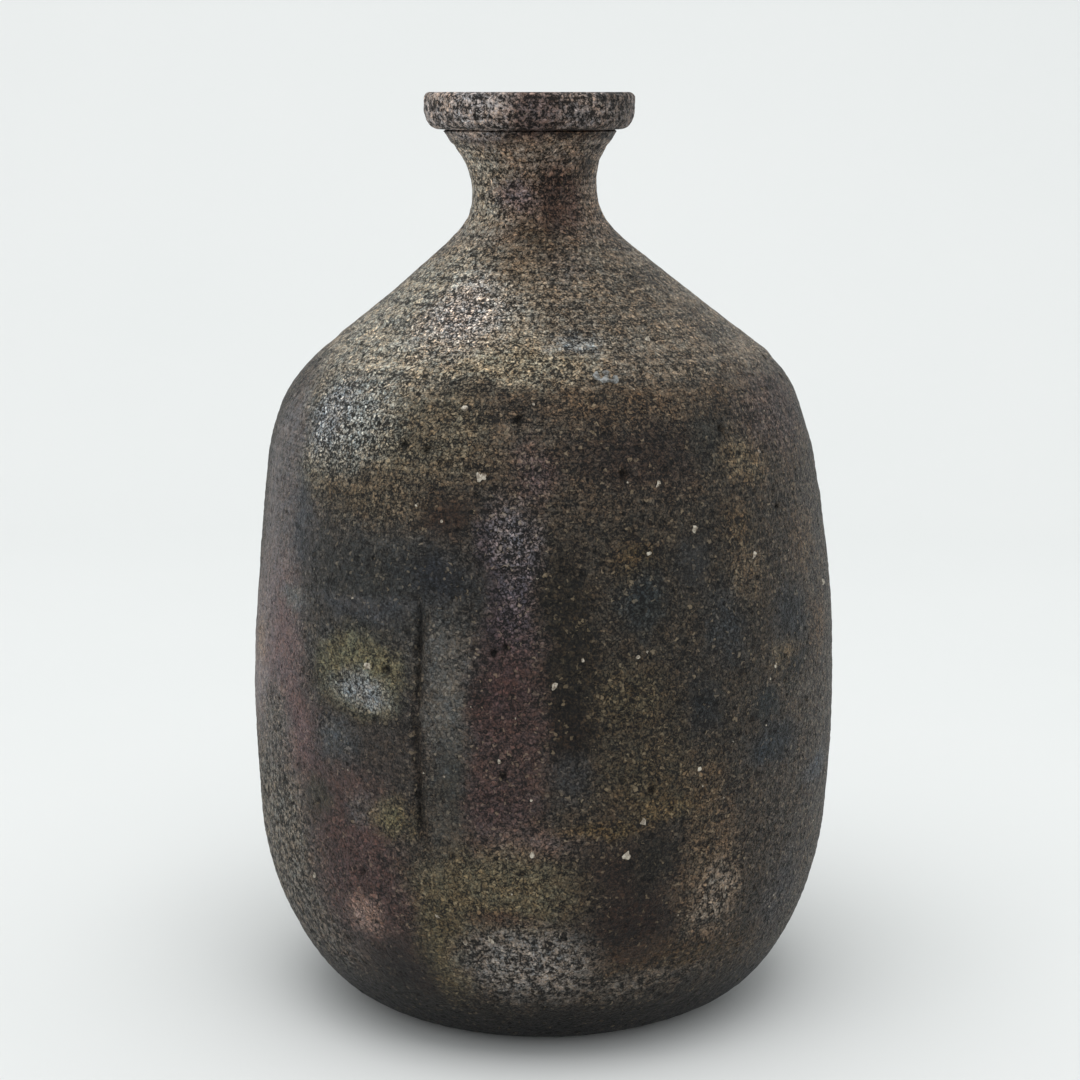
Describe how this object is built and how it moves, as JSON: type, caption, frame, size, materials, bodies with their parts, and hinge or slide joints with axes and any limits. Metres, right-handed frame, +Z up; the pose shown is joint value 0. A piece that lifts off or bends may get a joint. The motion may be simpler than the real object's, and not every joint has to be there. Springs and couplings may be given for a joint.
{
  "type": "sake bottle",
  "caption": "Unglazed wood-fired stoneware sake bottle with straight belly, sloping shoulder, waisted neck and rolled lip.",
  "frame": {"origin": "centre of the flat foot, on the surface the bottle stands on", "axes": "+Z up along the bottle's axis of turning; -Y towards the front, +X to the viewer's right"},
  "size_m": [0.0827, 0.0827, 0.127],
  "materials": {
    "clay_foot": "unglazed, fired almost black",
    "clay_body": "unglazed, plum brown with ash and char",
    "clay_shoulder": "unglazed, khaki ash freckles",
    "clay_neck": "unglazed, brown with ash freckles",
    "clay_lip": "unglazed, mauve grey with dark freckles",
    "feldspar": "matt off-white grains",
    "flake": "rough grey chip"
  },
  "bodies": {
    "root": {"foot_disc": "clay_foot", "lower_wall": "clay_body", "upper_wall": "clay_body", "shoulder_turn": "clay_body", "shoulder": "clay_shoulder", "neck": "clay_neck", "lip_ring": "clay_lip", "feldspar_grits": "feldspar", "kiln_flake": "flake"}
  },
  "joints": []
}
